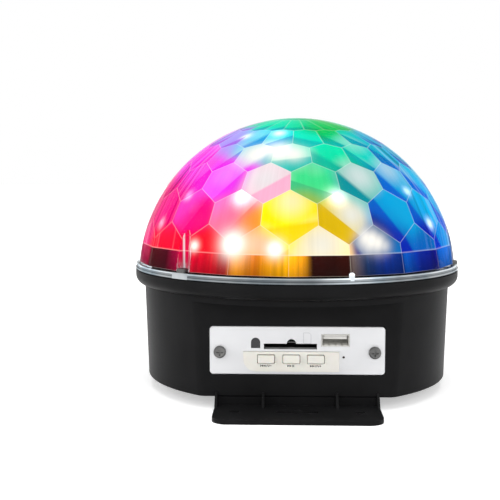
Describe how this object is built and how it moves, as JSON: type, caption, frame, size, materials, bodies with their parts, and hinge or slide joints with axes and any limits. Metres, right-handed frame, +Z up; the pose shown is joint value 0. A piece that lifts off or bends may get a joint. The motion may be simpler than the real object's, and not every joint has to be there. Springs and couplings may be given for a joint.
{
  "type": "disco ball lamp",
  "caption": "Table-top party light: clear faceted dome over a turning lens wheel and coloured lights, on a black speaker base with a silver control panel and a keyhole foot.",
  "frame": {"origin": "on the dome's axis, in the plane the lamp stands on (underside of the rubber ring)", "axes": "+Z up along the dome's axis, front with the control panel and foot towards -Y, +X to the right seen from the front"},
  "size_m": [0.17, 0.177, 0.1404],
  "materials": {
    "black_gloss": "polished",
    "clear_dome": "clear, polished",
    "rubber_black": "matte",
    "steel_screw": "zinc plated",
    "panel_silver": "satin",
    "cream_plastic": "satin",
    "smoke_window": "polished, dark tinted",
    "nickel_shell": "bright nickel",
    "white_plastic": "matte",
    "black_plastic": "matte",
    "board_green": "solder mask",
    "board_white": "solder mask",
    "red_glow": "clear resin",
    "green_glow": "clear resin",
    "blue_glow": "clear resin",
    "amber_glow": "clear resin",
    "violet_glow": "clear resin",
    "white_glow": "clear resin",
    "clear_lens": "clear, polished",
    "motor_can": "zinc plated",
    "heat_plate": "milled",
    "basket_steel": "black paint",
    "magnet": "ferrite",
    "paper_cone": "pressed paper",
    "yellow_tape": "tape"
  },
  "bodies": {
    "base": {"base_housing": "black_gloss", "beam_lens_1": "clear_lens", "beam_lens_2": "clear_lens", "beam_lens_3": "clear_lens", "beam_lens_4": "clear_lens", "beam_lens_5": "clear_lens", "beam_lens_6": "clear_lens", "bottom_cover": "black_plastic", "button_bezel": "cream_plastic", "capacitor": "black_plastic", "card_socket": "basket_steel", "cover_screw_1": "steel_screw", "cover_screw_2": "steel_screw", "cover_screw_3": "steel_screw", "cover_screw_4": "steel_screw", "dc_jack": "black_plastic", "dc_pin": "nickel_shell", "dome": "clear_dome", "dome_screw_1": "steel_screw", "dome_screw_2": "steel_screw", "dome_screw_3": "steel_screw", "foot_ring": "rubber_black", "foot_screw_l": "steel_screw", "foot_screw_r": "steel_screw", "front_panel": "panel_silver", "heat_plate": "heat_plate", "ir_receiver": "black_plastic", "ir_window": "smoke_window", "led_board": "board_white", "light_1": "amber_glow", "light_2": "blue_glow", "light_3": "green_glow", "light_4": "white_glow", "light_5": "violet_glow", "light_6": "red_glow", "motor": "motor_can", "mounting_foot": "black_gloss", "panel_screw_l": "steel_screw", "panel_screw_r": "steel_screw", "power_board": "board_green", "socket_board": "board_green", "speaker_basket": "basket_steel", "speaker_cone": "paper_cone", "speaker_magnet": "magnet", "status_led": "red_glow", "switch_next": "black_plastic", "switch_play": "black_plastic", "switch_prev": "black_plastic", "transformer": "yellow_tape", "usb_core": "white_plastic", "usb_shell": "nickel_shell"},
    "lens_rotor": {"wheel_shaft": "steel_screw", "lens_wheel": "clear_lens", "hub_cap": "steel_screw"},
    "key_prev": {"button_prev": "cream_plastic", "plunger_prev": "white_plastic"},
    "key_play": {"button_play": "cream_plastic", "plunger_play": "white_plastic"},
    "key_next": {"button_next": "cream_plastic", "plunger_next": "white_plastic"}
  },
  "joints": [
    {"name": "wheel_spin", "type": "hinge", "parent": "base", "child": "lens_rotor", "pos_m": [0, 0, 0.08], "axis": [0, 0, 1], "continuous": true},
    {"name": "press_prev", "type": "slide", "parent": "base", "child": "key_prev", "axis": [0, 1, 0], "range_m": [0, 0.0005], "stiffness_N_per_m": 600, "springref_m": -0.001},
    {"name": "press_play", "type": "slide", "parent": "base", "child": "key_play", "axis": [0, 1, 0], "range_m": [0, 0.0005], "stiffness_N_per_m": 600, "springref_m": -0.001},
    {"name": "press_next", "type": "slide", "parent": "base", "child": "key_next", "axis": [0, 1, 0], "range_m": [0, 0.0005], "stiffness_N_per_m": 600, "springref_m": -0.001}
  ]
}
